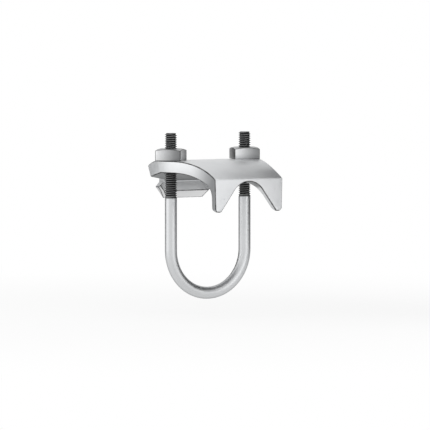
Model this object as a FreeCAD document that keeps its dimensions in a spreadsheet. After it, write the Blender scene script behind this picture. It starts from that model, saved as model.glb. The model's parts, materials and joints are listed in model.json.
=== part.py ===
import FreeCAD, Part
import math
import os
import re
import Sketcher

# Right angle conduit clamp: a cast saddle, a U-bolt and its two square nuts.
# Origin on the conduit's axis, in the middle of the bend. X runs from leg to leg, Y along the conduit
# from the saddle's fork (front) to its tongue (back), Z up along the legs. Millimetres and degrees.

SIZES = {
    # U-bolt
    "conduit_diameter": 48.26,
    "conduit_clearance": 0.6,
    "rod_diameter": 7.94,
    "crest_height": 59.6,
    "stud_reach": 18.0,
    "stud_chamfer": 0.9,
    # Square nuts
    "nut_width": 17.2,
    "nut_height": 7.9,
    "nut_face_diameter": 14.0,
    "nut_chamfer_angle": 15.0,
    "nut_countersink": 0.8,
    "thread_clearance": 0.1,
    "left_nut_angle": 43.8,
    "right_nut_angle": -19.9,
    # Saddle: crest and roof, in the side view
    "crest_front": 10.0,
    "crest_back": 3.0,
    "crest_thickness": 8.0,
    "roof_radius": 81.0,
    "back_radius": 25.0,
    "back_slope": 25.0,
    "underside_slope": 14.0,
    # Saddle: fork
    "fork_reach": 50.6,
    "fork_wall": 4.6,
    "fork_depth": 32.4,
    "fork_margin": 2.4,
    "tooth_width": 4.5,
    "arch_top": 12.7,
    "arch_radius": 13.0,
    # Saddle: bolt ears
    "ear_margin": 8.2,
    "ear_back": 16.2,
    "ear_radius": 40.0,
    "flank_radius": 106.0,
    "hole_clearance": 0.96,
    "draft_angle": 1.5,
    # Saddle: tongue
    "tongue_reach": 31.8,
    "tongue_wall": 5.0,
    "tongue_depth": 26.3,
    "tongue_land": 2.0,
    "bevel_height": 4.9,
    "side_bevel": 1.4,
    "neck_width": 36.6,
    "jaw_width": 42.8,
    "foot_width": 30.8,
    "jaw_drop": 3.0,
    # Saddle: cast radii
    "fork_root_radius": 10.0,
    "tongue_root_radius": 1.0,
    "tongue_bend_radius": 6.0,
    "shoulder_radius": 1.5,
    "fork_toe_radius": 3.0,
    # Saddle: width taken off its sharp outer edges
    "edge_bevel": 0.6,
    # Room that a cutting outline leaves around the casting
    "trim_room": 10.0,
}

LEG = "(conduit_diameter / 2 + conduit_clearance + rod_diameter / 2)"
EAR = f"({LEG} + ear_margin)"
FORK = "(conduit_diameter / 2 + fork_margin)"
FORK_INNER = "(fork_reach - fork_wall)"
TONGUE_INNER = "(tongue_reach - tongue_wall)"

# Heights in the saddle's own frame, with the crest at zero
UNDER_ROOF = "(roof_radius - crest_thickness)"
SHOULDER = "(sqrt(roof_radius^2 - (fork_reach - crest_front)^2) - roof_radius)"
FORK_ROOT = f"(sqrt({UNDER_ROOF}^2 - ({FORK_INNER} - crest_front)^2) - roof_radius)"
SLOPE_START = "(crest_back + back_radius * sin(back_slope))"
SLOPE_FALL = "(back_radius * (1 - cos(back_slope)))"
TONGUE_BEND = f"(-{SLOPE_FALL} - (tongue_reach - {SLOPE_START}) * tan(back_slope))"
TONGUE_ROOT = f"(-crest_thickness - {TONGUE_INNER} * tan(underside_slope))"
NECK_FOOT = f"({TONGUE_ROOT} - tongue_root_radius)"
TOOTH_INSET = "(fork_depth * tan(draft_angle))"
LEFT, RIGHT = -1, 1

# Two places closer than this are one place; two faces that turn by more than this meet in a sharp edge
SAME_PLACE = 0.05
SHARP = 45.0

doc = FreeCAD.newDocument("conduit_clamp")


def make_sheet():
    sheet = doc.addObject("Spreadsheet::Sheet", "Sizes")
    for row, (name, size) in enumerate(SIZES.items(), start=1):
        sheet.set(f"A{row}", name.replace("_", " "))
        sheet.set(f"B{row}", str(size))
        sheet.setAlias(f"B{row}", name)
    doc.recompute()
    return sheet


def from_sheet(formula):
    """The formula with each size named as a cell of the sheet."""
    return re.sub(r"[a-z_]+", lambda word: f"Sizes.{word[0]}" if word[0] in SIZES else word[0], formula)


def value(formula):
    return float(sheet.evalExpression(from_sheet(formula)))


def bind(thing, **formulas):
    for name, formula in formulas.items():
        thing.setExpression(name.replace("__", "."), from_sheet(formula))


def new_body(label):
    body = doc.addObject("PartDesign::Body", label)
    body.Label = label
    return body


def origin_feature(body, role):
    return next(feature for feature in body.Origin.OriginFeatures if feature.Role == role)


def new_sketch(body, name, plane, offset=None):
    sketch = body.newObject("Sketcher::SketchObject", name)
    sketch.AttachmentSupport = [(origin_feature(body, plane), "")]
    sketch.MapMode = "FlatFace"
    if offset:
        bind(sketch, AttachmentOffset__Base__z=offset)
    return sketch


def dimension(sketch, kind, formula, *where):
    index = sketch.addConstraint(Sketcher.Constraint(kind, *where, value(formula)))
    sketch.setExpression(f"Constraints[{index}]", from_sheet(formula))


def pin(sketch, geometry, end, across, up):
    """Hold a point at its two coordinates; a coordinate of zero lies on the axis."""
    for kind, axis, formula in (("DistanceX", -2, across), ("DistanceY", -1, up)):
        if formula == "0":
            sketch.addConstraint(Sketcher.Constraint("PointOnObject", geometry, end, axis))
        else:
            dimension(sketch, kind, formula, geometry, end)


def add_arc(sketch, start, finish, radius, turn):
    """An arc under half a circle; turn is 1 anticlockwise, -1 clockwise. Gives its start and finish ends."""
    chord = finish - start
    square = FreeCAD.Vector(-chord.y, chord.x, 0).normalize()
    rise = math.sqrt(radius**2 - (chord.Length / 2) ** 2)
    centre = (start + finish) / 2 + square * rise * turn
    ends = [start, finish] if turn > 0 else [finish, start]
    low, high = (math.atan2(end.y - centre.y, end.x - centre.x) for end in ends)
    circle = Part.Circle(centre, FreeCAD.Vector(0, 0, 1), radius)
    sketch.addGeometry(Part.ArcOfCircle(circle, low, high if high > low else high + 2 * math.pi), False)
    return (1, 2) if turn > 0 else (2, 1)


def draw_outline(sketch, corners):
    """A closed outline. A corner is (across, up), with (radius, turn) added where an arc leads on from it."""
    first = sketch.GeometryCount
    spots = [FreeCAD.Vector(value(corner[0]), value(corner[1]), 0) for corner in corners]
    ends = []
    for index, (across, up, *arc) in enumerate(corners):
        start, finish = spots[index], spots[(index + 1) % len(spots)]
        geometry = first + index
        if arc:
            radius, turn = arc
            ends.append(add_arc(sketch, start, finish, value(radius), turn))
        else:
            sketch.addGeometry(Part.LineSegment(start, finish), False)
            ends.append((1, 2))
        pin(sketch, geometry, ends[-1][0], across, up)
        if arc:
            dimension(sketch, "Radius", radius, geometry)
    for index in range(len(corners)):
        after = (index + 1) % len(corners)
        joined = (first + index, ends[index][1], first + after, ends[after][0])
        sketch.addConstraint(Sketcher.Constraint("Coincident", *joined))


def mirrored(corners):
    """A right-hand outline, front to back, closed by its mirror image across the middle."""
    left = []
    for index in range(len(corners) - 1, -1, -1):
        across, up = corners[index][:2]
        arc = corners[index - 1][2:] if index else ()
        left.append((f"-({across})", up, *arc))
    return [*corners, *left]


def draw_frame(sketch, half_across, low, high):
    """A rectangle around everything, outside which nothing is cut."""
    corners = [("-1", low), ("1", low), ("1", high), ("-1", high)]
    draw_outline(sketch, [(f"{side} * ({half_across})", up) for side, up in corners])


def draw_circle(sketch, across, up, radius):
    circle = Part.Circle(FreeCAD.Vector(value(across), value(up), 0), FreeCAD.Vector(0, 0, 1), value(radius))
    geometry = sketch.addGeometry(circle, False)
    pin(sketch, geometry, 3, across, up)
    dimension(sketch, "Radius", radius, geometry)


def feature(body, kind, name, profile=None, **settings):
    made = body.newObject(f"PartDesign::{kind}", name)
    if profile:
        made.Profile = profile
        profile.Visibility = False
    for setting, wanted in settings.items():
        setattr(made, setting, wanted)
    return made


def cut(body, kind, name, profile, **settings):
    """A cutting feature, which has to take material away."""
    doc.recompute()
    before = body.Shape.Volume
    made = feature(body, kind, name, profile, **settings)
    doc.recompute()
    if not before > body.Shape.Volume > 0:
        raise ValueError(f"{name} cuts nothing")
    return made


def edges_where(body, test):
    """Names of the edges of the body's shape whose middle point and edge pass the test."""
    doc.recompute()
    names = []
    for index, edge in enumerate(body.Shape.Edges, start=1):
        middle = edge.valueAt((edge.FirstParameter + edge.LastParameter) / 2)
        if test(middle, edge):
            names.append(f"Edge{index}")
    return names


def round_edges(body, name, radius, test):
    names = edges_where(body, test)
    if not names:
        raise ValueError(f"{name} finds no edge")
    made = feature(body, "Fillet", name, Base=(body.Tip, names))
    bind(made, Radius=radius)
    return made


def bevel_edges(body, name, size, test):
    made = feature(body, "Chamfer", name, Base=(body.Tip, edges_where(body, test)))
    bind(made, Size=size)
    return made


def near(first, second):
    return abs(first - second) < SAME_PLACE


def turn_at(body, edge, point):
    """Degrees by which the surface turns where its two faces meet along an edge."""
    faces = body.Shape.ancestorsOfType(edge, Part.Face)
    normals = [face.normalAt(*face.Surface.parameter(point)) for face in faces]
    return math.degrees(normals[0].getAngle(normals[-1]))


def round_cross_edge(body, name, along, height):
    """Round the edge that crosses the casting from side to side at one place in the side view."""
    place = value(along), value(height)
    round_edges(body, name, f"{name}_radius",
                lambda middle, edge: near(middle.y, place[0]) and near(middle.z, place[1]))


def make_u_bolt():
    body = new_body("u_bolt")
    top = "(crest_height + stud_reach)"
    path = new_sketch(body, "bolt_path", "XZ_Plane")
    leg, height = value(LEG), value(top)
    upper = [FreeCAD.Vector(side * leg, height, 0) for side in (LEFT, RIGHT)]
    lower = [FreeCAD.Vector(side * leg, 0, 0) for side in (LEFT, RIGHT)]
    path.addGeometry(Part.LineSegment(upper[0], lower[0]), False)
    bend = Part.Circle(FreeCAD.Vector(0, 0, 0), FreeCAD.Vector(0, 0, 1), leg)
    path.addGeometry(Part.ArcOfCircle(bend, math.pi, 2 * math.pi), False)
    path.addGeometry(Part.LineSegment(lower[1], upper[1]), False)
    path.addConstraint(Sketcher.Constraint("Coincident", 0, 2, 1, 1))
    path.addConstraint(Sketcher.Constraint("Coincident", 1, 2, 2, 1))
    pin(path, 0, 1, f"-{LEG}", top)
    pin(path, 0, 2, f"-{LEG}", "0")
    pin(path, 2, 1, LEG, "0")
    pin(path, 2, 2, LEG, top)
    path.addConstraint(Sketcher.Constraint("PointOnObject", 1, 3, -1))
    section = new_sketch(body, "rod_section", "XY_Plane", offset=top)
    draw_circle(section, f"-{LEG}", "0", "rod_diameter / 2")
    doc.recompute()
    feature(body, "AdditivePipe", "rod", section, Spine=(path, ["Edge1", "Edge2", "Edge3"]))
    bevel_edges(body, "stud_ends", "stud_chamfer", lambda middle, edge: near(middle.z, height))
    return body


def make_nut(label, side, angle):
    body = new_body(label)
    square = new_sketch(body, f"{label}_square", "XY_Plane")
    draw_frame(square, "nut_width / 2", "-nut_width / 2", "nut_width / 2")
    block = feature(body, "Pad", f"{label}_block", square)
    bind(block, Length="nut_height")
    corner = new_sketch(body, f"{label}_corner_cut", "XZ_Plane")
    reach = "nut_width"
    fall = "(nut_width - nut_face_diameter / 2) * tan(nut_chamfer_angle)"
    draw_outline(corner, [
        ("nut_face_diameter / 2", "nut_height"),
        (reach, f"nut_height - {fall}"),
        (reach, "nut_height"),
    ])
    axis = (origin_feature(body, "Z_Axis"), [""])
    cut(body, "Groove", f"{label}_corners", corner, ReferenceAxis=axis, Angle=360)
    bore = new_sketch(body, f"{label}_bore_circle", "XY_Plane")
    draw_circle(bore, "0", "0", "rod_diameter / 2 + thread_clearance")
    cut(body, "Pocket", f"{label}_bore", bore, Type="ThroughAll", Reversed=True)
    bore_radius, top = value("rod_diameter / 2 + thread_clearance"), value("nut_height")
    bevel_edges(body, f"{label}_countersinks", "nut_countersink", lambda middle, edge:
                near(math.hypot(middle.x, middle.y), bore_radius) and (near(middle.z, 0) or near(middle.z, top)))
    body.Placement.Rotation = FreeCAD.Rotation(FreeCAD.Vector(0, 0, 1), value(angle))
    bind(body, Placement__Base__x=f"{side} * {LEG}", Placement__Base__z="crest_height",
         Placement__Rotation__Angle=angle)
    return body


def saddle_side_view():
    """The casting's section along the conduit, anticlockwise from the foot of the fork's front face."""
    return [
        ("-fork_reach", "-fork_depth"),
        (f"-{FORK_INNER}", "-fork_depth"),
        (f"-{FORK_INNER}", FORK_ROOT, UNDER_ROOF, -1),
        ("-crest_front", "-crest_thickness"),
        ("0", "-crest_thickness"),
        (TONGUE_INNER, TONGUE_ROOT),
        (TONGUE_INNER, "bevel_height - tongue_depth"),
        ("tongue_reach - tongue_land", "-tongue_depth"),
        ("tongue_reach", "-tongue_depth"),
        ("tongue_reach", TONGUE_BEND),
        (SLOPE_START, f"-{SLOPE_FALL}", "back_radius", 1),
        ("crest_back", "0"),
        ("-crest_front", "0", "roof_radius", 1),
        ("-fork_reach", SHOULDER),
    ]


def saddle_plan(inset):
    """The casting's right half seen from above, front to back: fork, hollow flank, round and side of the ear."""
    flare, radii = f"({EAR} - {FORK})", "(flank_radius + ear_radius)"
    run = f"sqrt(2 * {flare} * {radii} - {flare}^2)"
    hollow = f"flank_radius / {radii}"
    return [
        (f"{FORK} - {inset}", "-fork_reach - trim_room"),
        (f"{FORK} - {inset}", "-fork_reach", "flank_radius", -1),
        (f"{FORK} + {flare} * {hollow} - {inset}", f"{run} * {hollow} - fork_reach", "ear_radius", 1),
        (f"{EAR} - {inset}", f"{run} - fork_reach"),
        (f"{EAR} - {inset}", "tongue_reach + trim_room"),
    ]


def draw_back_corner(sketch, side):
    """What is cut from one corner behind an ear, drawn along the sloping roof: a slant from ear to neck."""
    along_roof = lambda height: f"({TONGUE_INNER} * cos(back_slope) - {height} * sin(back_slope))"
    roof = f"(-{SLOPE_FALL} - ({TONGUE_INNER} - {SLOPE_START}) * tan(back_slope))"
    outside = f"({EAR} + trim_room)"
    steepness = f"(({along_roof(roof)} - ear_back) / ({EAR} - neck_width / 2))"
    corners = [
        ("neck_width / 2", along_roof(roof)),
        (outside, f"ear_back - trim_room * {steepness}"),
        (outside, along_roof(TONGUE_ROOT)),
        ("neck_width / 2", along_roof(TONGUE_ROOT)),
    ]
    draw_outline(sketch, [(f"{side} * ({across})", up) for across, up in corners])


def saddle_tongue():
    """The tongue's right half seen along the conduit, bottom to top: foot, jaw, neck."""
    return [
        ("foot_width / 2", "-tongue_depth - trim_room"),
        ("foot_width / 2", "-tongue_depth"),
        ("jaw_width / 2", f"{NECK_FOOT} - jaw_drop"),
        ("neck_width / 2", NECK_FOOT),
        ("neck_width / 2", "trim_room"),
    ]


def draw_arch(sketch):
    """The fork's arch: a round top with straight flanks down to the tips of the two teeth."""
    foot, low = f"({FORK} - {TOOTH_INSET} - tooth_width)", "(-fork_depth - trim_room)"
    centre_height = "(-arch_top - arch_radius)"
    radius, centre = value("arch_radius"), FreeCAD.Vector(0, value(centre_height), 0)
    tip = FreeCAD.Vector(value(foot), -value("fork_depth"), 0)
    spread = tip - centre
    angle = math.atan2(spread.y, spread.x) + math.acos(radius / spread.Length)
    touch = centre + FreeCAD.Vector(math.cos(angle), math.sin(angle), 0) * radius
    flip = lambda point: FreeCAD.Vector(-point.x, point.y, 0)
    base = FreeCAD.Vector(tip.x, value(low), 0)
    circle = Part.Circle(centre, FreeCAD.Vector(0, 0, 1), radius)
    sketch.addGeometry([
        Part.LineSegment(base, tip),
        Part.LineSegment(tip, touch),
        Part.ArcOfCircle(circle, angle, math.pi - angle),
        Part.LineSegment(flip(touch), flip(tip)),
        Part.LineSegment(flip(tip), flip(base)),
        Part.LineSegment(flip(base), base),
    ], False)
    pin(sketch, 2, 3, "0", centre_height)
    dimension(sketch, "Radius", "arch_radius", 2)
    for first, second in ((0, 1), (3, 4), (4, 5), (5, 0)):
        sketch.addConstraint(Sketcher.Constraint("Coincident", first, 2, second, 1))
    sketch.addConstraint(Sketcher.Constraint("Tangent", 1, 2, 2, 1))
    sketch.addConstraint(Sketcher.Constraint("Tangent", 2, 2, 3, 1))
    for geometry, across, up in ((0, foot, low), (1, foot, "-fork_depth"), (5, f"-{foot}", low)):
        pin(sketch, geometry, 1, across, up)
    pin(sketch, 4, 1, f"-{foot}", "-fork_depth")


def make_saddle():
    body = new_body("saddle")
    depth = "(fork_depth + trim_room)"
    upper = new_sketch(body, "upper_plan", "XY_Plane")
    draw_outline(upper, mirrored(saddle_plan("0")))
    lower = new_sketch(body, "lower_plan", "XY_Plane", offset=f"-{depth}")
    draw_outline(lower, mirrored(saddle_plan(f"{depth} * tan(draft_angle)")))
    feature(body, "AdditiveLoft", "drafted_blank", upper, Sections=[(lower, [""])], Ruled=True)

    side_view = new_sketch(body, "side_view", "YZ_Plane")
    draw_outline(side_view, saddle_side_view())
    frame_reach = "fork_reach + tongue_reach + 2 * trim_room"
    draw_frame(side_view, frame_reach, f"-{depth} - trim_room", "trim_room")
    cut(body, "Pocket", "side_trim", side_view, Type="ThroughAll", SideType="Symmetric")

    round_cross_edge(body, "fork_root", f"-{FORK_INNER}", FORK_ROOT)
    round_cross_edge(body, "fork_toe", f"-{FORK_INNER}", "-fork_depth")
    round_cross_edge(body, "shoulder", "-fork_reach", SHOULDER)

    corners = new_sketch(body, "back_corners", "XY_Plane")
    corners.AttachmentOffset.Rotation = FreeCAD.Rotation(FreeCAD.Vector(1, 0, 0), -value("back_slope"))
    bind(corners, AttachmentOffset__Rotation__Angle="-back_slope")
    for side in (LEFT, RIGHT):
        draw_back_corner(corners, side)
    cut(body, "Pocket", "corner_cuts", corners, Type="ThroughAll", SideType="Symmetric")

    tongue = new_sketch(body, "tongue_outline", "XZ_Plane", offset=f"-{TONGUE_INNER}")
    draw_outline(tongue, mirrored(saddle_tongue()))
    draw_frame(tongue, f"{EAR} + trim_room", "-tongue_depth - 2 * trim_room", "2 * trim_room")
    cut(body, "Pocket", "tongue_sides", tongue, Type="ThroughAll")
    round_cross_edge(body, "tongue_root", TONGUE_INNER, TONGUE_ROOT)
    round_cross_edge(body, "tongue_bend", "tongue_reach", TONGUE_BEND)

    arch = new_sketch(body, "arch_outline", "XZ_Plane")
    draw_arch(arch)
    cut(body, "Pocket", "arch", arch, Type="ThroughAll", Reversed=True)

    inner, land = value(TONGUE_INNER), value("tongue_reach - tongue_land")
    foot, jaw = value("foot_width / 2"), value(f"{NECK_FOOT} - jaw_drop")
    bevel_edges(body, "side_bevels", "side_bevel", lambda middle, edge: foot < abs(middle.x)
                and middle.z < jaw and inner - SAME_PLACE < middle.y < land - SAME_PLACE)
    beside_tongue, fork_start = value("jaw_width / 2"), -value("crest_front")
    bevel_edges(body, "eased_edges", "edge_bevel", lambda middle, edge:
                (middle.y < fork_start or abs(middle.x) > beside_tongue) and turn_at(body, edge, middle) > SHARP)

    holes = new_sketch(body, "bolt_holes", "XY_Plane")
    for side in (LEFT, RIGHT):
        draw_circle(holes, f"{side} * {LEG}", "0", "(rod_diameter + hole_clearance) / 2")
    cut(body, "Pocket", "holes", holes, Type="ThroughAll")
    bind(body, Placement__Base__z="crest_height")
    return body


def failed_objects():
    return [thing.Name for thing in doc.Objects if {"Invalid", "Error"} & set(thing.State)]


sheet = make_sheet()
pieces = [
    make_saddle(),
    make_u_bolt(),
    make_nut("left_nut", LEFT, "left_nut_angle"),
    make_nut("right_nut", RIGHT, "right_nut_angle"),
]
doc.recompute()
if failed_objects():
    raise ValueError(f"failed: {failed_objects()}")
for piece in pieces:
    if piece.Shape.isNull() or not piece.Shape.isValid():
        raise ValueError(f"{piece.Label} has no valid shape")
os.makedirs("parts", exist_ok=True)
for piece in pieces:
    piece.Shape.exportStep(f"parts/{piece.Label}.step")
    print(piece.Label, round(piece.Shape.Volume, 1))
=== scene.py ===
"""Right angle conduit clamp: a plated cast saddle, drawn down by a threaded U-bolt and two square nuts."""
import json
import math

import bmesh
import bpy
from mathutils import Matrix, Vector


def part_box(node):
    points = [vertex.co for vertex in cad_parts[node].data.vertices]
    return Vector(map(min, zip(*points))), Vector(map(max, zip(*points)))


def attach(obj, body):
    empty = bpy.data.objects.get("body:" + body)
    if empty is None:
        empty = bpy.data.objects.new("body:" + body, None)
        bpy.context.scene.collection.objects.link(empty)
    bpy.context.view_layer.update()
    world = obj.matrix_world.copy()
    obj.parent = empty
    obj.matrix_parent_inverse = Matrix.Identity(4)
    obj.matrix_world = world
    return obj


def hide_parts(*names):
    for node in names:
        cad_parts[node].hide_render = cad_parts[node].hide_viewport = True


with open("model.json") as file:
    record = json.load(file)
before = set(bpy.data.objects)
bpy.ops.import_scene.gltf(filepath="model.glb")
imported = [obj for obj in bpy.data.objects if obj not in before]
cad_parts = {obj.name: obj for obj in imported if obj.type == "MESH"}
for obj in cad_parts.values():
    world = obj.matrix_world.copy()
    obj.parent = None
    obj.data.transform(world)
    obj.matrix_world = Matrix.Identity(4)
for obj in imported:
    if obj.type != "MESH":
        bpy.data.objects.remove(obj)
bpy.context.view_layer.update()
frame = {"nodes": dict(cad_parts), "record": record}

MM = 0.001
BEHAVIOUR = frame["record"]["behaviour"]
JOINTS = {joint["name"]: joint for joint in BEHAVIOUR["joints"]}

# The legs stand at this distance each side of the middle, and the nuts sit at this height
LEG, _, SEAT = JOINTS["right_nut_turn"]["pos_m"]
BOLT_LOW, BOLT_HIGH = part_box("u_bolt")
ROD = BOLT_HIGH.y
STUD_TOP = BOLT_HIGH.z
STUD_BEVEL = 0.9 * MM
ROD_SIDES = 64
BEND_STEPS = 72

# The thread's pitch is the travel of one turn, and its flanks stand at 60 degrees to each other
PITCH = 2 * math.pi / BEHAVIOUR["couplings"][0]["ratio"]
THREAD_DEPTH = 0.6134 * PITCH
CREST_FLAT = PITCH / 8
FLANK = THREAD_DEPTH * math.tan(math.radians(30))
ROOT_FLAT = PITCH - CREST_FLAT - 2 * FLANK
ROOT = ROD - THREAD_DEPTH
THREAD_STEPS = 48

# It fades out to the plain shank under the saddle, and is spun from some turns lower and cut off there
THREAD_LOW = SEAT - 25.3 * MM
RUN_OUT = 1.5 * PITCH
SPARE_TURNS = 2
SHANK_GAP = 0.4 * MM

# The nuts: pressed square blanks with a cone turned on top and a countersunk bore
NUT_HALF = 8.6 * MM
NUT_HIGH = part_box("right_nut")[1].z - SEAT
NUT_FACE = 7.0 * MM
NUT_CONE = math.tan(math.radians(15))
NUT_BORE = 4.07 * MM
NUT_SINK = 0.7 * MM
NUT_CORNER = 0.7 * MM
NUT_CORNER_STEPS = 5
NUT_SIDE_CUTS = 14
NUT_EDGE = 0.22 * MM
NUT_EDGE_STEPS = 2

# A corner leans from both pairs of flats by more than this, and a flat's normal rises by less than this
NUT_CORNER_TURN = 0.2
NUT_UPRIGHT = 0.5
# The name under which each flat's painted sheen, from dark to light, is kept
PAINTED_SHEEN = "rubbed"

# Vertices this close are one, and faces that turn by more than this meet in a crease
WELD = 0.002 * MM
CREASE = math.radians(32)
CAST_CREASE = math.radians(50)
TONGUE_CREASE = math.radians(20)
FLAT = math.radians(0.5)
SHADING_WEIGHT = 80

# Strips narrower than this between two creases are edges, on which the plate is worn dark
WORN = "worn"
WORN_WIDTH = 0.95 * MM
WORN_TURN = math.radians(25)
WORN_PATCH = 3 * MM
WORN_LEAST = 0.8

# The tongue starts here, its straight runs are eased, and the short slivers between them are closed first
TONGUE = 24 * MM
TONGUE_EDGE = 0.35 * MM
TONGUE_SLIVER = 0.2 * MM
TONGUE_RUN = 1.5 * MM

# The jaw lies below this height, its blunt ends face the sides, and its points belong this far out and up
JAW_TOP = 43 * MM
JAW_END = 0.9
JAW_HALF = 21.4 * MM
JAW_POINT = 40.918 * MM

# The fork's teeth have round tips, with this width and inner lean
TIP_ROUND = 2.4 * MM
TIP_STEPS = 6
TIP_WIDTH = 4.0 * MM
TIP_LEAN = 0.74

# The camera's place is that of the drawing: its angles, and the point in the middle of the frame
AZIMUTH = math.radians(-32.1)
CAMERA_RISE = 3
FRAME_PIXELS = 430
METRES_PER_PIXEL = 0.6617 * MM
AIM = Vector((3.98, -2.496, 22.83)) * MM
LENS = 400
SENSOR = 36

# The floor lies just under the lowest place that the bend comes down to, and it is whiter far off
FLOOR = BOLT_LOW.z + JOINTS["u_bolt_take_up"]["range_m"][0] - 1.0 * MM
FLOOR_REACH = 60.0
FLOOR_GLOW = 0.86
FLOOR_FAR_OFF = (0.1, 0.5)
FLOOR_FLECK = 30 * MM
FLOOR_ROUGH = 0.5

# Lamps: turn to the camera's right and rise in degrees, distance and size in metres, and glow
LAMPS = (
    ("left_softbox", -66, 6, 0.6, 0.40, 0.7),
    ("front_softbox", 46, 4, 0.5, 0.30, 0.7),
    ("top_softbox", 90, 62, 0.6, 0.34, 0.9),
)
AMBIENT = 0.8

# Dark cards that face the clamp: turn and rise, distance, width and height, in the same way
CARDS = (
    ("left_card", -136, 0, 0.40, 0.32, 0.40),
    ("right_card", 118, 4, 0.36, 0.24, 0.50),
    ("front_card", 82, 9, 0.22, 0.12, 0.11),
)

# The card over the roof faces the roof's right end
ROOF_CARD = Vector((0.14, -0.03, 0.14))
ROOF_CARD_WIDTH = 0.20
ROOF_CARD_HEIGHT = 0.17
ROOF_END = Vector((0.03, -0.02, 0.05))


class Field:
    """A value that varies over a surface: a socket whose sums and products add Math nodes to its tree."""

    def __init__(self, nodes, socket):
        self.nodes = nodes
        self.socket = socket

    def math(self, operation, *others):
        values = dict(enumerate((self, *others)))
        return self.nodes.add("ShaderNodeMath", {"operation": operation}, values)

    def __add__(self, other):
        return self.math("ADD", other)

    __radd__ = __add__

    def __sub__(self, other):
        return self.math("SUBTRACT", other)

    def __rsub__(self, other):
        return self.nodes.add("ShaderNodeMath", {"operation": "SUBTRACT"}, {0: other, 1: self})

    def __mul__(self, other):
        return self.math("MULTIPLY", other)

    __rmul__ = __mul__

    def __pow__(self, other):
        return self.math("POWER", other)

    def __abs__(self):
        return self.math("ABSOLUTE")

    def least(self, other):
        return self.math("MINIMUM", other)

    def most(self, *others):
        """The largest of this value and the others."""
        largest = self
        for other in others:
            largest = largest.math("MAXIMUM", other)
        return largest

    def clamped(self):
        """Held between 0 and 1."""
        return self.most(0.0).least(1.0)

    def ramp(self, start, end):
        """0 at start and 1 at end, with an even pass between; start may be the larger."""
        return self.nodes.add(
            "ShaderNodeMapRange",
            {"interpolation_type": "SMOOTHSTEP"},
            {"Value": self, "From Min": start, "From Max": end},
        )


class Nodes:
    """The node tree of one finish, of the floor or of the surroundings."""

    def __init__(self, tree):
        self.tree = tree
        tree.nodes.clear()

    def add(self, kind, settings=None, values=None, output=0):
        """A node of that kind; its settings come first, and values are numbers or fields for its sockets."""
        node = self.tree.nodes.new(kind)
        for name, setting in (settings or {}).items():
            setattr(node, name, setting)
        for key, value in (values or {}).items():
            if isinstance(value, Field):
                self.tree.links.new(value.socket, node.inputs[key])
            else:
                node.inputs[key].default_value = value
        return Field(self, node.outputs[output]) if node.outputs else None

    def parts(self, vector):
        """The three parts of a vector."""
        node = self.add("ShaderNodeSeparateXYZ", values={0: vector}).socket.node
        return [Field(self, output) for output in node.outputs]

    def place(self):
        """Where a point is on the object, in metres, as a vector and as its three parts."""
        point = self.add("ShaderNodeTexCoord", output="Object")
        return point, *self.parts(point)

    def facing(self):
        """The way that the surface faces, as the three parts of its normal."""
        return self.parts(self.add("ShaderNodeTexCoord", output="Normal"))

    def marked(self, name):
        """What the faces or their corners are marked with under that name."""
        return self.add("ShaderNodeAttribute", {"attribute_name": name}, output="Fac")

    def noise(self, point, size, detail=2.0, roughness=0.5):
        """Soft random patches of about that size in metres, from 0 to 1."""
        return self.add(
            "ShaderNodeTexNoise",
            values={"Vector": point, "Scale": 1 / size, "Detail": detail, "Roughness": roughness},
        )

    def worn(self, point):
        """How far the plate is worn off: in patches, along the marked edges alone."""
        patches = self.noise(point, WORN_PATCH).ramp(0.35, 0.6)
        return self.marked(WORN) * (WORN_LEAST + (1 - WORN_LEAST) * patches)

    def vector(self, x, y, z):
        return self.add("ShaderNodeCombineXYZ", values={0: x, 1: y, 2: z})

    def blend(self, share, first, second):
        """The first colour where share is 0 and the second where it is 1."""
        return self.add(
            "ShaderNodeMix", {"data_type": "RGBA"}, {0: share, 6: first, 7: second}, output=2
        )

    def layered(self, colour, *layers):
        """A colour with others laid over it in turn, each by its own share."""
        for share, over in layers:
            colour = self.blend(share, colour, over)
        return colour

    def seen(self):
        """1 for a ray from the camera or from a shiny or clear surface, and 0 for other light."""
        rays = self.add("ShaderNodeLightPath").socket.node
        camera, glossy, clear = (
            Field(self, rays.outputs[f"Is {kind} Ray"]) for kind in ("Camera", "Glossy", "Transmission")
        )
        return camera.most(glossy, clear)

    def surface(self, shader, target="ShaderNodeOutputMaterial"):
        self.add(target, values={"Surface": shader})


def new_material(name):
    material = bpy.data.materials.new(name)
    material.use_nodes = True
    return material, Nodes(material.node_tree)


def grey(value, tint=0.0):
    """A grey, cooler where tint is above 0 and warmer below."""
    return (value * (1 - tint), value, value * (1 + tint), 1.0)


def metal(nodes, colour, aslant, roughness, height, depth):
    """A metal's shader: aslant tints it where it is seen from the side, and depth scales its relief."""
    normal = nodes.add("ShaderNodeBump", values={"Strength": 1.0, "Distance": depth, "Height": height})
    nodes.surface(
        nodes.add(
            "ShaderNodeBsdfPrincipled",
            values={
                "Base Color": colour,
                "Metallic": 1.0,
                "Specular Tint": grey(aslant),
                "Roughness": roughness,
                "Normal": normal,
            },
        )
    )


def from_leg(x, y):
    """Distance from the nearer leg's axis."""
    off = abs(x) - LEG
    return (off * off + y * y) ** 0.5


# Steel that shows where the plate is worn off
WORN_STEEL = grey(0.08)

# The casting's tones, the sizes of its patches and its relief
CAST_DEEP = grey(0.65, 0.02)
CAST_PALE = grey(0.77, 0.01)
CAST_RUBBED = grey(0.8)
# This grey is a painted highlight on the tongue's bevel, made lighter than the faces beside it
CAST_PAINTED_LIGHT = grey(0.84)
# This grey is painted shade, laid on the casting's underside, jaw front, flanks and cheeks
CAST_PAINTED_SHADE = grey(0.26, 0.02)
CAST_PITTED = grey(0.22)
CAST_ASLANT = 0.92
CAST_CLOUD = 16 * MM
CAST_PEEL = 2.2 * MM
CAST_GRAIN = 0.55 * MM
CAST_PITS = 4.2 * MM
CAST_RELIEF = 0.12 * MM
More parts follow.
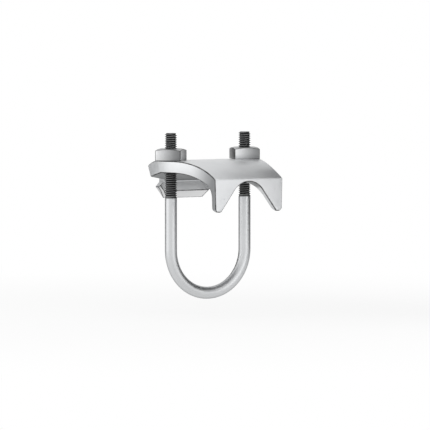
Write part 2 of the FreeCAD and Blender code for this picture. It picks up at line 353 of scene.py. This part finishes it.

# Where the casting is worn bright at its seats, and where a highlight and shade are painted on it: from
# where a tone starts to where it is full
SEAT_RING = (9.4 * MM, 8.2 * MM)
SEAT_LEVEL = (SEAT - 2.0 * MM, SEAT - 0.4 * MM)
ON_TONGUE = (23 * MM, 25 * MM)
LAND_LEVEL = (40.5 * MM, 39.5 * MM)
LAND_DOWN = (-0.3, -0.4)
JAW_FORWARD = (-0.9, -0.97)
JAW_BEHIND = (2 * MM, 12 * MM)
JAW_LEVEL = (34 * MM, 45 * MM)
FLANK_OUT = (0.8, 0.95)
FLANK_AHEAD = (-24 * MM, -50 * MM)
CHEEK_OUT = (0.4, 0.6)
CHEEK_LEVEL = (46 * MM, 44 * MM)
UNDER_DOWN = (-0.6, -0.8)


def cast_zinc():
    """Zinc plate over a malleable casting: a satin grey with sand grain, small pits, seats worn bright by
    the nuts, a painted highlight on the tongue's bevel, and painted shade on the faces that look down, the
    jaw, the flanks and the cheeks.
    """
    material, nodes = new_material("cast_zinc")
    point, x, y, z = nodes.place()
    side, front, top = nodes.facing()
    cloud = nodes.noise(point, CAST_CLOUD, detail=3.0)
    peel = nodes.noise(point, CAST_PEEL)
    grain = nodes.noise(point, CAST_GRAIN, detail=3.0, roughness=0.6)
    cell = nodes.add("ShaderNodeTexVoronoi", values={"Vector": point, "Scale": 1 / CAST_PITS})
    pits = (cell + peel * 0.16 + cloud * 0.2).ramp(0.26, 0.18)
    seat = from_leg(x, y).ramp(*SEAT_RING) * z.ramp(*SEAT_LEVEL)
    # A painted highlight: the tongue's bevel, where it faces down and forward, is made lighter
    painted_lit_land = y.ramp(*ON_TONGUE) * z.ramp(*LAND_LEVEL) * top.ramp(*LAND_DOWN)
    # Painted shade: darker on the jaw's front, the flanks ahead, the tongue's cheeks, and every face that
    # looks down except the bevel
    jaw = front.ramp(*JAW_FORWARD) * y.ramp(*JAW_BEHIND) * z.ramp(*JAW_LEVEL)
    flank = abs(side).ramp(*FLANK_OUT) * y.ramp(*FLANK_AHEAD)
    cheek = abs(side).ramp(*CHEEK_OUT) * y.ramp(*ON_TONGUE) * z.ramp(*CHEEK_LEVEL)
    under = top.ramp(*UNDER_DOWN) * (1 - painted_lit_land)
    painted_shade = under.most(jaw * 0.3, flank, cheek * 0.4)
    tone = (cloud - 0.5) * 0.9 + (grain - 0.5) * 0.35 + 0.5
    colour = nodes.layered(
        nodes.blend(tone.clamped(), CAST_DEEP, CAST_PALE),
        (seat * 0.6, CAST_RUBBED),
        # The painted highlight on the tongue's bevel
        (painted_lit_land * 0.7, CAST_PAINTED_LIGHT),
        # Painted shade over the faces that look down, the jaw, the flanks and the cheeks
        (painted_shade * 0.85, CAST_PAINTED_SHADE),
        (pits * 0.22, CAST_PITTED),
        (nodes.worn(point), WORN_STEEL),
    )
    rough = 0.33 + cloud * 0.1 + grain * 0.08 - seat * 0.1 - painted_lit_land * 0.1 + painted_shade * 0.1
    relief = grain * 0.5 + peel * 0.6 - pits * 0.7
    metal(nodes, colour, CAST_ASLANT, rough, relief, CAST_RELIEF)
    return material


# The U-bolt's tones, the sizes of its marks, how many times slimmer than long they are, and its relief
ROD_DEEP = grey(0.60, 0.02)
ROD_PALE = grey(0.72, 0.01)
ROD_CUT = grey(0.62, 0.01)
# Greys that make the thread darker all over and darkest in its grooves
THREAD_DARKER = grey(0.12)
GROOVE_DARKEST = grey(0.015)
ROD_ASLANT = 0.3
ROD_MARKS = 2.2 * MM
ROD_MARKS_SLIM = 9.0
ROD_CLOUD = 11 * MM
ROD_FINE = 0.5 * MM
ROD_RELIEF = 0.014 * MM

# Where its thread begins, where a groove is deep, and where its end is cut
THREAD_START = (THREAD_LOW - 0.2 * MM, THREAD_LOW + 0.6 * MM)
GROOVE = (ROD - 0.06 * MM, ROOT + 0.1 * MM)
CUT_END = (STUD_TOP - 0.1 * MM, STUD_TOP - 0.03 * MM)


def bolt_zinc():
    """Zinc plate over drawn rod: fine draw marks along it, a darker thread that is darkest in its grooves,
    and bright cut ends.
    """
    material, nodes = new_material("bolt_zinc")
    point, x, y, z = nodes.place()
    down = z.least(0.0)
    out = (x * x + down * down) ** 0.5 - LEG
    along = z.most(0.0) + down.math("ARCTAN2", abs(x)) * LEG
    drawn = nodes.vector(out * ROD_MARKS_SLIM, y * ROD_MARKS_SLIM, along)
    marks = nodes.noise(drawn, ROD_MARKS, detail=3.0)
    cloud = nodes.noise(point, ROD_CLOUD)
    fine = nodes.noise(point, ROD_FINE)
    threaded = z.ramp(*THREAD_START)
    groove = from_leg(x, y).ramp(*GROOVE) * threaded
    tone = (marks - 0.5) * 0.6 + (cloud - 0.5) * 0.6 + 0.5
    colour = nodes.layered(
        nodes.blend(tone.clamped(), ROD_DEEP, ROD_PALE),
        # Darker over the whole thread, and darkest in its grooves
        (threaded * 0.66, THREAD_DARKER),
        (groove * 0.92, GROOVE_DARKEST),
        (z.ramp(*CUT_END) * 0.8, ROD_CUT),
    )
    rough = 0.3 + marks * 0.12 + fine * 0.06 + groove * 0.2 + threaded * 0.12
    metal(nodes, colour, ROD_ASLANT, rough, marks * 0.6 + fine * 0.4, ROD_RELIEF)
    return material


# The nuts' tones, from a flat's end in painted shade to its end in painted sheen, and their marks and
# relief, in the same way
NUT_PAINTED_SHADE = grey(0.2, 0.02)
NUT_PAINTED_SHEEN = grey(0.92, 0.01)
NUT_STAIN = grey(0.3)
NUT_ASLANT = 0.95
NUT_CLOUD = 7 * MM
NUT_FINE = 0.35 * MM
NUT_MARKS = 1.5 * MM
NUT_MARKS_SLIM = 6.0
NUT_TURNED = 0.3 * MM
NUT_TOP = (SEAT + NUT_HIGH - 0.2 * MM, SEAT + NUT_HIGH - 0.05 * MM)
NUT_SHEEN_CURVE = 1.5
NUT_RELIEF = 0.018 * MM


def nut_zinc():
    """Zinc plate over pressed steel: drawn flats, each with a painted sheen from dark to light across it,
    and a turned cone on top.
    """
    material, nodes = new_material("nut_zinc")
    point, x, y, z = nodes.place()
    cloud = nodes.noise(point, NUT_CLOUD)
    fine = nodes.noise(point, NUT_FINE)
    drawn = nodes.noise(nodes.vector(x * NUT_MARKS_SLIM, y * NUT_MARKS_SLIM, z), NUT_MARKS)
    turned = nodes.noise(nodes.vector(from_leg(x, y), 0.0, 0.0), NUT_TURNED, detail=1.0)
    marks = drawn + (turned - drawn) * z.ramp(*NUT_TOP)
    tone = (marks - 0.5) * 0.7 + (cloud - 0.5) * 0.7 + 0.5
    # A painted sheen: each flat runs from dark to light along it, standing in for reflected light
    sheen = nodes.marked(PAINTED_SHEEN)
    sheen_share = (sheen + (drawn - 0.5) * 0.1 + (cloud - 0.5) * 0.16).clamped() ** NUT_SHEEN_CURVE
    colour = nodes.layered(
        nodes.blend(sheen_share, NUT_PAINTED_SHADE, NUT_PAINTED_SHEEN),
        ((1 - tone).clamped() * 0.25, NUT_STAIN),
        (nodes.worn(point), WORN_STEEL),
    )
    rough = 0.36 - sheen * 0.1 + marks * 0.14 + fine * 0.06
    metal(nodes, colour, NUT_ASLANT, rough, marks * 0.6 + fine * 0.4, NUT_RELIEF)
    return material


# The floor's paint, the cards' felt with the size of its nap, and the surroundings
PAINT_DEEP = grey(0.9)
PAINT_PALE = grey(0.93)
FELT_DEEP = grey(0.015)
FELT_PALE = grey(0.03)
FELT_NAP = 4 * MM
WHITE = grey(1.0)


def floor_paint():
    """White to the camera and to shiny surfaces, with a share of plain white paint that takes the shadow."""
    material, nodes = new_material("floor_paint")
    point, x, y, _ = nodes.place()
    far_off = ((x * x + y * y) ** 0.5).ramp(*FLOOR_FAR_OFF)
    fleck = nodes.blend(nodes.noise(point, FLOOR_FLECK), PAINT_DEEP, PAINT_PALE)
    paint = nodes.add("ShaderNodeBsdfDiffuse", values={"Color": fleck, "Roughness": FLOOR_ROUGH})
    glow = nodes.add("ShaderNodeEmission", values={"Color": WHITE, "Strength": 1.0})
    share = nodes.seen() * (FLOOR_GLOW + far_off * (1 - FLOOR_GLOW))
    nodes.surface(nodes.add("ShaderNodeMixShader", values={0: share, 1: paint, 2: glow}))
    return material


def card_felt():
    """Black felt with a faint nap."""
    material, nodes = new_material("card_felt")
    point, *_ = nodes.place()
    nap = nodes.blend(nodes.noise(point, FELT_NAP), FELT_DEEP, FELT_PALE)
    nodes.surface(nodes.add("ShaderNodeBsdfDiffuse", values={"Color": nap}))
    return material


def on_tongue(edge):
    return all(vert.co.y > TONGUE for vert in edge.verts)


def creased(edge):
    return edge.calc_face_angle(0.0) > CREASE


def cast_creased(edge):
    """The casting's eased edges are shaded round, and the tongue's edges stay crisp."""
    return edge.calc_face_angle(0.0) > (TONGUE_CREASE if on_tongue(edge) else CAST_CREASE)


def weld(bm):
    bmesh.ops.remove_doubles(bm, verts=bm.verts[:], dist=WELD)


def eased(bm, geom, offset, steps, affect="EDGES"):
    """Bevels those edges or corners, and returns the new faces."""
    return bmesh.ops.bevel(
        bm, geom=geom, offset=offset, segments=steps, profile=0.5, affect=affect, material=-1
    )["faces"]


def sliced(bm, height, way=1, clear_outer=False):
    """Cuts a level plane through everything, and can clear what lies on the side that it faces."""
    bmesh.ops.bisect_plane(
        bm,
        geom=bm.verts[:] + bm.edges[:] + bm.faces[:],
        plane_co=(0, 0, height),
        plane_no=(0, 0, way),
        clear_outer=clear_outer,
    )


def finished_mesh(bm, name):
    mesh = bpy.data.meshes.new(name)
    bm.to_mesh(mesh)
    bm.free()
    return mesh


def piece(bm, name, material, is_crease=creased):
    """An object from a finished bmesh, smooth but for its real creases."""
    weld(bm)
    bmesh.ops.recalc_face_normals(bm, faces=bm.faces[:])
    for face in bm.faces:
        face.smooth = True
    for edge in bm.edges:
        edge.smooth = not is_crease(edge)
    mesh = finished_mesh(bm, name)
    mesh.materials.append(material)
    made = bpy.data.objects.new(name, mesh)
    bpy.context.scene.collection.objects.link(made)
    return made


def smooth_patches(bm):
    """Groups of faces that pass into each other without a crease."""
    left = set(bm.faces)
    while left:
        patch = [left.pop()]
        for face in patch:
            smooth = [edge for edge in face.edges if edge.calc_face_angle(0.0) < WORN_TURN]
            beside = {other for edge in smooth for other in edge.link_faces} & left
            left -= beside
            patch.extend(beside)
        yield patch


def wear_edges(bm, worn):
    """Marks the eased edges: the patches whose area is that of a narrow strip."""
    for patch in smooth_patches(bm):
        inside = set(patch)
        rim = [edge for face in patch for edge in face.edges if not inside.issuperset(edge.link_faces)]
        length = sum(edge.calc_length() for edge in rim) / 2
        if sum(face.calc_area() for face in patch) < WORN_WIDTH * length:
            for face in patch:
                face[worn] = 1.0


def point_jaw(bm):
    """Draws the jaw's blunt ends out to the points where its slopes meet."""
    for face in bm.faces:
        middle = face.calc_center_median()
        if middle.y < TONGUE or middle.z > JAW_TOP or abs(face.normal.x) < JAW_END:
            continue
        for edge in face.edges:
            low, high = sorted((vert.co for vert in edge.verts), key=lambda at: at.z)
            if high.z - low.z > WELD:
                point = Vector((math.copysign(JAW_HALF, low.x), low.y, JAW_POINT))
                for vert in edge.verts:
                    vert.co = point
    weld(bm)


def ease_tongue(bm, worn):
    """Takes a little off the tongue's straight edges."""
    slivers = [
        edge
        for edge in bm.edges
        if on_tongue(edge) and edge.calc_length() < TONGUE_SLIVER and edge.verts[0].co.z < JAW_TOP
    ]
    bmesh.ops.collapse(bm, edges=slivers)
    runs = [
        edge
        for edge in bm.edges
        if on_tongue(edge)
        and edge.calc_length() > TONGUE_RUN
        and edge.is_convex
        and edge.calc_face_angle(0.0) > TONGUE_CREASE
    ]
    for face in eased(bm, runs, TONGUE_EDGE, steps=1):
        face[worn] = 1.0


def round_teeth(bm):
    """Rounds the outer corner of each tooth's tip, in rows cut across the teeth."""
    tip = min(vert.co.z for vert in bm.verts)
    out = max(abs(vert.co.x) for vert in bm.verts if vert.co.z < tip + TIP_ROUND)
    for step in range(1, TIP_STEPS + 1):
        sliced(bm, tip + TIP_ROUND * (1 - math.cos(math.pi / 2 * step / TIP_STEPS)))
    for vert in bm.verts:
        left = tip + TIP_ROUND - vert.co.z
        if left > 0:
            inside = out - TIP_WIDTH + (left - TIP_ROUND) * TIP_LEAN
            share = max((abs(vert.co.x) - inside) / (out - inside), 0.0)
            cut = TIP_ROUND - math.sqrt(TIP_ROUND ** 2 - left ** 2)
            vert.co.x -= math.copysign(share * cut, vert.co.x)


def make_saddle(material):
    """The casting: the frame's own shape, with a pointed jaw, round tooth tips and eased, worn edges."""
    bm = bmesh.new()
    bm.from_mesh(frame["nodes"]["saddle"].data)
    weld(bm)
    bmesh.ops.dissolve_limit(bm, angle_limit=FLAT, verts=bm.verts[:], edges=bm.edges[:])
    point_jaw(bm)
    worn = bm.faces.layers.float.new(WORN)
    wear_edges(bm, worn)
    ease_tongue(bm, worn)
    round_teeth(bm)
    made = piece(bm, "cast_saddle", material, cast_creased)
    shading = made.modifiers.new("eased_shading", "WEIGHTED_NORMAL")
    shading.keep_sharp = True
    shading.weight = SHADING_WEIGHT
    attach(made, "saddle")
    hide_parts("saddle")


def raised(bm, rim, placed):
    """Extrudes a rim of edges, puts each new vertex where placed says, and returns the new rim."""
    grown = bmesh.ops.extrude_edge_only(bm, edges=rim)["geom"]
    for vert in grown:
        if isinstance(vert, bmesh.types.BMVert):
            vert.co = placed(vert.co)
    return [edge for edge in grown if isinstance(edge, bmesh.types.BMEdge)]


def open_rim(bm, on_rim):
    """The open edges whose ends both meet the test."""
    return [
        edge for edge in bm.edges if edge.is_boundary and all(on_rim(vert.co) for vert in edge.verts)
    ]


def stud_mesh():
    """One threaded stud about the Z axis, open at its low end."""
    bm = bmesh.new()
    low = THREAD_LOW - SPARE_TURNS * PITCH
    turns = math.ceil((STUD_TOP - low) / PITCH) + 1
    outline = (
        (ROOT, 0),
        (ROOT, ROOT_FLAT),
        (ROD, ROOT_FLAT + FLANK),
        (ROD, PITCH - FLANK),
        (ROOT, PITCH),
    )
    verts = [bm.verts.new((radius, 0, low + height)) for radius, height in outline]
    edges = [bm.edges.new(pair) for pair in zip(verts, verts[1:])]
    bmesh.ops.spin(
        bm,
        geom=verts + edges,
        axis=(0, 0, 1),
        dvec=(0, 0, PITCH / THREAD_STEPS),
        angle=2 * math.pi * turns,
        steps=THREAD_STEPS * turns,
    )
    weld(bm)
    sliced(bm, STUD_TOP, way=1, clear_outer=True)
    sliced(bm, THREAD_LOW, way=-1, clear_outer=True)
    for vert in bm.verts:
        radius = math.hypot(vert.co.x, vert.co.y)
        share = min(max((vert.co.z - THREAD_LOW) / RUN_OUT, 0.0), 1.0)
        faded = ROD - (ROD - radius) * share
        scale = min(faded, ROD - STUD_BEVEL + STUD_TOP - vert.co.z) / radius
        vert.co.x *= scale
        vert.co.y *= scale
    bmesh.ops.holes_fill(bm, edges=open_rim(bm, lambda at: at.z > STUD_TOP - WELD), sides=0)
    return finished_mesh(bm, "stud")


def make_u_bolt(material):
    """The rod bent to a U, whose legs pass into their threaded studs."""
    bm = bmesh.new()
    foot = bmesh.ops.create_circle(
        bm, segments=ROD_SIDES, radius=ROD, matrix=Matrix.Translation((-LEG, 0, 0))
    )["verts"]
    bmesh.ops.spin(bm, geom=foot + bm.edges[:], axis=(0, -1, 0), angle=math.pi, steps=BEND_STEPS)
    shank_top = THREAD_LOW - SHANK_GAP
    stud = stud_mesh()
    for side in (-1, 1):
        feet = open_rim(bm, lambda at: at.x * side > 0 and at.z < shank_top)
        shank = raised(bm, feet, lambda at: Vector((at.x, at.y, shank_top)))
        moved = stud.copy()
        moved.transform(Matrix.Translation((side * LEG, 0, 0)))
        bm.from_mesh(moved)
        threads = open_rim(bm, lambda at: at.x * side > 0 and at.z > shank_top + SHANK_GAP / 2)
        bmesh.ops.bridge_loops(bm, edges=shank + threads)
    made = piece(bm, "threaded_u_bolt", material)
    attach(made, "u_bolt")
    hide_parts("u_bolt")


def nut_angle(node, leg):
    """The angle about its leg at which the nut of the frame stands."""
    reach = [vert.co - leg for vert in frame["nodes"][node].data.vertices]
    corner = max(reach, key=lambda at: at.xy.length)
    return math.atan2(corner.y, corner.x) - math.pi / 4


def ringed(radius, height):
    """Moves a point out or in to that radius, at that height."""
    return lambda at: Vector((*(at.xy.normalized() * radius), height))


def on_cone(at):
    """Lifts a point of the square to the cone over it."""
    return Vector((at.x, at.y, NUT_HIGH - max(at.xy.length - NUT_FACE, 0.0) * NUT_CONE))


def paint_flat_sheen(bm):
    """Marks the painted sheen across each flat, which stands in for reflected light: 1 at the end that leads
    when tightened, and 0 behind.
    """
    rubbed = bm.loops.layers.float.new(PAINTED_SHEEN)
    for face in bm.faces:
        upright = abs(face.normal.z) < NUT_UPRIGHT
        lead = face.normal.cross((0, 0, 1))
        for loop in face.loops:
            ahead = loop.vert.co.dot(lead) / NUT_HALF if upright else 0.0
            loop[rubbed] = (1 + min(max(ahead, -1.0), 1.0)) / 2


def make_nut(node, side, material):
    """A square nut with eased corners, a coned top and a countersunk bore."""
    bm = bmesh.new()
    square = bmesh.ops.create_circle(
        bm,
        cap_ends=True,
        segments=4,
        radius=NUT_HALF * math.sqrt(2),
        matrix=Matrix.Rotation(math.pi / 4, 4, "Z"),
    )["verts"]
    eased(bm, square, NUT_CORNER, NUT_CORNER_STEPS, "VERTICES")
    flats = [edge for edge in bm.edges if edge.calc_length() > NUT_HALF]
    bmesh.ops.subdivide_edges(bm, edges=flats, cuts=NUT_SIDE_CUTS)
    bmesh.ops.delete(bm, geom=bm.faces[:], context="FACES_ONLY")
    base = bm.edges[:]
    shoulder = raised(bm, base, on_cone)
    top = raised(bm, shoulder, ringed(NUT_FACE, NUT_HIGH))
    mouth = raised(bm, top, ringed(NUT_BORE + NUT_SINK, NUT_HIGH))
    bore = raised(bm, mouth, ringed(NUT_BORE, NUT_HIGH - NUT_SINK))
    low_mouth = raised(bm, base, ringed(NUT_BORE + NUT_SINK, 0.0))
    low_bore = raised(bm, low_mouth, ringed(NUT_BORE, NUT_SINK))
    bmesh.ops.bridge_loops(bm, edges=bore + low_bore)
    bmesh.ops.recalc_face_normals(bm, faces=bm.faces[:])
    worn = bm.faces.layers.float.new(WORN)
    for face in bm.faces:
        across, along, up = (abs(part) for part in face.normal)
        face[worn] = float(up < NUT_CORNER_TURN and min(across, along) > NUT_CORNER_TURN)
    for face in eased(bm, base + shoulder, NUT_EDGE, NUT_EDGE_STEPS):
        face[worn] = 1.0
    # Paints the dark-to-light sheen across each flat
    paint_flat_sheen(bm)
    leg = Vector((side * LEG, 0, SEAT))
    turn = Matrix.Rotation(nut_angle(node, leg), 4, "Z")
    bmesh.ops.transform(bm, matrix=Matrix.Translation(leg) @ turn, verts=bm.verts[:])
    made = piece(bm, f"square_{node}", material)
    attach(made, node)
    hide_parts(node)


def make_floor():
    bm = bmesh.new()
    bmesh.ops.create_grid(
        bm, x_segments=1, y_segments=1, size=FLOOR_REACH, matrix=Matrix.Translation((0, 0, FLOOR))
    )
    piece(bm, "floor", floor_paint())


def around(turn, rise, distance):
    """A place round the clamp: turned to the camera's right, raised from the level, at that distance."""
    angle = AZIMUTH + math.radians(turn)
    lift = math.radians(rise)
    level = Vector((math.sin(angle), -math.cos(angle), 0)) * math.cos(lift)
    return AIM + (level + Vector((0, 0, math.sin(lift)))) * distance


def facing(place, target=AIM):
    """The turn that points a lamp, a card or the camera at the target."""
    return (target - place).to_track_quat("-Z", "Y")


def put(name, thing, place):
    """Puts a lamp or the camera at that place, facing the clamp."""
    made = bpy.data.objects.new(name, thing)
    made.location = place
    made.rotation_euler = facing(place).to_euler()
    bpy.context.scene.collection.objects.link(made)
    return made


def softbox(name, place, size, glow):
    """A square lamp; a glow of 1 is as bright as the white surroundings."""
    lamp = bpy.data.lights.new(name, "AREA")
    lamp.size = size
    lamp.energy = glow * math.pi * size * size
    put(name, lamp, place)


def dark_card(name, place, width, height, target, material):
    """A dark panel out of view, which the plated metal mirrors as its darker tones."""
    bm = bmesh.new()
    # A square of one metre, stretched to the card's width and height
    bmesh.ops.create_grid(bm, x_segments=1, y_segments=1, size=0.5)
    shape = Matrix.Diagonal((width, height, 1, 1))
    turned = facing(place, target).to_matrix().to_4x4()
    bmesh.ops.transform(bm, matrix=Matrix.Translation(place) @ turned @ shape, verts=bm.verts[:])
    made = piece(bm, name, material)
    made.visible_camera = False


def light_studio():
    """White surroundings with soft lamps, and dark cards for the metal to mirror."""
    for name, turn, rise, distance, size, glow in LAMPS:
        softbox(name, around(turn, rise, distance), size, glow)
    felt = card_felt()
    for name, turn, rise, distance, width, height in CARDS:
        dark_card(name, around(turn, rise, distance), width, height, AIM, felt)
    dark_card("roof_card", ROOF_CARD, ROOF_CARD_WIDTH, ROOF_CARD_HEIGHT, ROOF_END, felt)
    world = bpy.data.worlds.new("studio")
    world.use_nodes = True
    nodes = Nodes(world.node_tree)
    dim = nodes.add("ShaderNodeBackground", values={"Color": WHITE, "Strength": AMBIENT})
    white = nodes.add("ShaderNodeBackground", values={"Color": WHITE, "Strength": 1.0})
    mixed = nodes.add("ShaderNodeMixShader", values={0: nodes.seen(), 1: dim, 2: white})
    nodes.surface(mixed, "ShaderNodeOutputWorld")
    bpy.context.scene.world = world


def set_camera():
    """Looks from the drawing's side, through a lens long enough to keep the clamp's edges parallel."""
    lens = bpy.data.cameras.new("camera")
    lens.lens = LENS
    lens.sensor_width = SENSOR
    distance = FRAME_PIXELS * METRES_PER_PIXEL * LENS / SENSOR
    bpy.context.scene.camera = put("camera", lens, around(0, CAMERA_RISE, distance))


make_u_bolt(bolt_zinc())
nut_finish = nut_zinc()
make_nut("left_nut", -1, nut_finish)
make_nut("right_nut", 1, nut_finish)
make_saddle(cast_zinc())
make_floor()
light_studio()
set_camera()
bpy.context.scene.view_settings.view_transform = "Standard"
